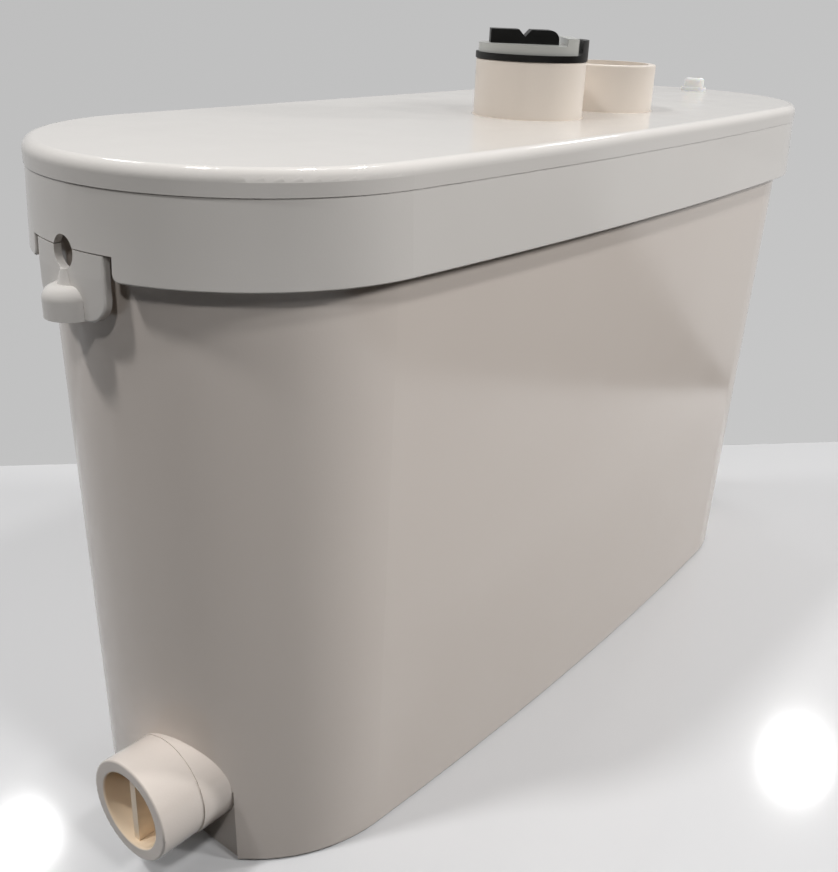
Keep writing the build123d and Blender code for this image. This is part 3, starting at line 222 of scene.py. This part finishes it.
FINISHES = {
    "lid_abs": ("lid", "left_latch", "right_latch"),
    "tank_abs": ("tank",),
    "spigot_abs": ("discharge_spigot", "top_inlet_spigot"),
    "plug_epdm": ("plug_body", "plug_grip"),
    "plug_nylon": ("plug_plate",),
    "gland_nylon": ("cable_gland", "gland_nut"),
    "black_epdm": (
        "foot_pads", "left_inlet_flap", "right_inlet_flap", "pump_dampers", "shaft_seal", "check_valve_flap",
        "riser_sleeve", "outlet_sleeve", "pipe_grommets", "lead_grommet", "lid_seal", "spigot_seals",
    ),
    "charcoal_felt": ("vent_filter",),
    "pump_polyamide": (
        "left_inlet_seat", "right_inlet_seat", "suction_strainer", "suction_plate", "pump_volute",
        "seal_plate", "impeller",
    ),
    "pipe_pvc": ("discharge_pipe", "check_valve_body", "riser_pipe", "dip_tube"),
    "cover_polypropylene": ("inner_cover",),
    "switch_polycarbonate": ("pressure_switch",),
    "box_abs": ("terminal_box", "terminal_box_cover"),
    "cable_pvc": ("motor_lead",),
    "stainless_steel": (
        "left_flap_pin", "right_flap_pin", "check_valve_pin", "cutter_ring", "casing_screws", "motor_shaft",
        "cutter_blade", "impeller_nut", "lower_bearing", "upper_bearing", "sleeve_clamps",
        "inner_cover_screws", "capacitor_clip",
    ),
    "drawn_aluminium": ("capacitor",),
    "cast_aluminium": ("motor_can", "motor_end_bell"),
    "laminated_steel": ("rotor_core", "stator_core"),
    "enamelled_copper": ("stator_winding",),
}


def finish_nodes():
    """Every node of the frame gets the finish of what it is made of."""
    for finish, names in FINISHES.items():
        for name in names:
            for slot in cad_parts[name].material_slots:
                slot.material = MATERIALS[finish]


# The stage, with lengths in metres. The floor is pale where it shows, and throws little light back up.
# The wall grows paler along its slope, and shows in reflections only up to a height. The air's strength
# goes from one value before the wall to another behind it, between the two ends of its turn.
FLOOR_SHADE = "#E1E1E2"
BOUNCE_SHADE = "#3C3A38"
BEYOND_SHADE = "#24211F"
FLOOR_REACH = 1.6
FLOOR_ROUGHNESS = (0.09, 0.12)
FLOOR_HAZE_MM = 300.0
FLOOR_EDGE_TURN = (0.77, -0.64, 0)
FLOOR_EDGE = 0.424
WALL_SHADE = "#BEBEBE"
WALL_SHADE_NEAR = "#C7C7C7"
WALL_TURN = Vector((0.673, 0.740, 0))
WALL_AHEAD = 0.2086
WALL_SLOPE = (0, -1.2, -1.0)
WALL_SLOPE_ENDS = (-0.72, 0.06)
WALL_HEIGHT = 0.42
WALL_SEEN = 0.2
AIR_BEFORE = 0.0
AIR_BEHIND = 1.0
AIR_TURN_ENDS = (-0.1, 0.5)


def flat_piece(name, corners, material):
    """A flat four-cornered sheet of the stage."""
    sheet = bmesh.new()
    sheet.faces.new([sheet.verts.new(corner) for corner in corners])
    mesh = bpy.data.meshes.new(name)
    sheet.to_mesh(mesh)
    sheet.free()
    mesh.materials.append(material)
    piece = bpy.data.objects.new(name, mesh)
    bpy.context.scene.collection.objects.link(piece)
    return piece


def make_floor():
    """A pale glossy floor, whose reflections show that the room is dark past its front edge."""
    material, tree, output, place = new_material("floor")
    haze = add_node(tree, "TexNoise", {"Vector": place}, Scale=per_metre(FLOOR_HAZE_MM), Detail=2.0)
    dull = add_node(tree, "MapRange", {0: haze.outputs[0]})
    dull.inputs[3].default_value, dull.inputs[4].default_value = FLOOR_ROUGHNESS
    path = add_node(tree, "LightPath")
    shade = add_node(tree, "Mix", {0: path.outputs["Is Diffuse Ray"]}, data_type="RGBA")
    shade.inputs[6].default_value = linear(FLOOR_SHADE)
    shade.inputs[7].default_value = linear(BOUNCE_SHADE)
    pale = add_node(tree, "BsdfPrincipled", {
        "Roughness": dull.outputs[0], "Base Color": shade.outputs[2],
    }, IOR=1.45)
    across = add_node(tree, "VectorMath", {0: place}, operation="DOT_PRODUCT")
    across.inputs[1].default_value = FLOOR_EDGE_TURN
    past = add_node(tree, "Math", {0: across.outputs["Value"]}, operation="GREATER_THAN")
    past.inputs[1].default_value = FLOOR_EDGE
    hidden = add_node(tree, "Math", {0: past.outputs[0], 1: path.outputs["Is Camera Ray"]},
                      operation="SUBTRACT")
    hidden.use_clamp = True
    dark = add_node(tree, "BsdfDiffuse")
    dark.inputs["Color"].default_value = linear(BEYOND_SHADE)
    shader = add_node(tree, "MixShader", {0: hidden.outputs[0], 1: pale.outputs[0], 2: dark.outputs[0]})
    tree.links.new(shader.outputs[0], output.inputs[0])
    r = FLOOR_REACH
    flat_piece("floor", [(-r, -r, 0), (r, -r, 0), (r, r, 0), (-r, r, 0)], material)


def make_wall():
    """A pale wall close behind the object, which glows with its own painted light that grows paler along its
    slope, and shows only its front.
    """
    material, tree, output, place = new_material("wall")
    parts = add_node(tree, "SeparateXYZ", {0: place})
    along = add_node(tree, "VectorMath", {0: place}, operation="DOT_PRODUCT")
    along.inputs[1].default_value = WALL_SLOPE
    slope = add_node(tree, "MapRange", {0: along.outputs["Value"]})
    slope.inputs[1].default_value, slope.inputs[2].default_value = WALL_SLOPE_ENDS
    shade = add_node(tree, "Mix", {0: slope.outputs[0]}, data_type="RGBA")
    shade.inputs[6].default_value = linear(WALL_SHADE)
    shade.inputs[7].default_value = linear(WALL_SHADE_NEAR)
    lit = add_node(tree, "Emission", {"Color": shade.outputs[2]})
    clear = add_node(tree, "BsdfTransparent")
    above = add_node(tree, "Math", {0: parts.outputs["Z"]}, operation="GREATER_THAN")
    above.inputs[1].default_value = WALL_SEEN
    path = add_node(tree, "LightPath")
    missed = add_node(tree, "Math", {0: above.outputs[0], 1: path.outputs["Is Glossy Ray"]},
                      operation="MULTIPLY")
    side = add_node(tree, "NewGeometry")
    through = add_node(tree, "Math", {0: missed.outputs[0], 1: side.outputs["Backfacing"]},
                       operation="MAXIMUM")
    shader = add_node(tree, "MixShader", {0: through.outputs[0], 1: lit.outputs[0], 2: clear.outputs[0]})
    tree.links.new(shader.outputs[0], output.inputs[0])
    across = Vector((WALL_TURN.y, -WALL_TURN.x, 0)) * FLOOR_REACH
    foot = WALL_TURN * WALL_AHEAD
    up = Vector((0, 0, WALL_HEIGHT))
    corners = [foot - across, foot + across, foot + across + up, foot - across + up]
    wall = flat_piece("wall", corners, material)
    for flag in ("visible_diffuse", "visible_shadow", "visible_transmission", "visible_volume_scatter"):
        setattr(wall, flag, False)


def make_air():
    """The room's air: the wall's shade to the camera, else bright behind the wall and dim before it."""
    world = bpy.data.worlds.new("air")
    world.use_nodes = True
    tree = world.node_tree
    background = tree.nodes["Background"]
    background.inputs["Color"].default_value = linear(WALL_SHADE)
    way = add_node(tree, "TexCoord").outputs["Generated"]
    behind = add_node(tree, "VectorMath", {0: way}, operation="DOT_PRODUCT")
    behind.inputs[1].default_value = WALL_TURN
    level = add_node(tree, "MapRange", {0: behind.outputs["Value"]})
    level.inputs[1].default_value, level.inputs[2].default_value = AIR_TURN_ENDS
    level.inputs[3].default_value = AIR_BEFORE
    level.inputs[4].default_value = AIR_BEHIND
    path = add_node(tree, "LightPath")
    strength = add_node(tree, "Math", {0: level.outputs[0], 1: path.outputs["Is Camera Ray"]},
                        operation="MAXIMUM")
    tree.links.new(strength.outputs[0], background.inputs["Strength"])
    bpy.context.scene.world = world


LAMP_AIM = Vector((0, 0, 0.13))
LAMP_STAND = 2.1
FILL_SIZE = 0.2
CEILING_SIZE = 0.15
GLINT_SIZE = 0.07
# Each lamp: its bearing from the front towards the right and its height in degrees, and its power in watts
FILL_LAMPS = (
    (50, 20, 16.5),
    (-110, 58, 14.0),
    (20, 35, 10.0),
    (-56, 44, 7.0),
    (-10, 58, 6.2),
    (-150, 58, 5.0),
    (-10, 35, 2.8),
    (-150, 35, 2.0),
)
CEILING_LAMPS = (
    (97, 35, 1.6),
    (163, 41, 1.6),
)
GLINT_LAMPS = (
    (168, 65, 5.0),
    (120, 68, 5.0),
    (100, 61, 5.0),
)


def add_lamp(bearing, height, power, size, glow=True, glints=True):
    """A round lamp on a sphere around the object, turned to it, for soft light, reflections or both."""
    turn, rise = math.radians(bearing), math.radians(height)
    out = Vector((math.cos(rise) * math.sin(turn), -math.cos(rise) * math.cos(turn), math.sin(rise)))
    light = bpy.data.lights.new("lamp", "AREA")
    light.shape = "DISK"
    light.size = size
    light.energy = power
    lamp = bpy.data.objects.new("lamp", light)
    lamp.location = LAMP_AIM + LAMP_STAND * out
    lamp.rotation_euler = out.to_track_quat("Z", "Y").to_euler()
    lamp.visible_diffuse = glow
    lamp.visible_glossy = glints
    bpy.context.scene.collection.objects.link(lamp)


make_camera()
finish_nodes()
make_floor()
make_wall()
make_air()
for bearing, height, power in FILL_LAMPS:
    add_lamp(bearing, height, power, FILL_SIZE, glints=False)
for bearing, height, power in CEILING_LAMPS:
    add_lamp(bearing, height, power, CEILING_SIZE)
for bearing, height, power in GLINT_LAMPS:
    add_lamp(bearing, height, power, GLINT_SIZE, glow=False)
bpy.context.scene.view_settings.view_transform = "Standard"
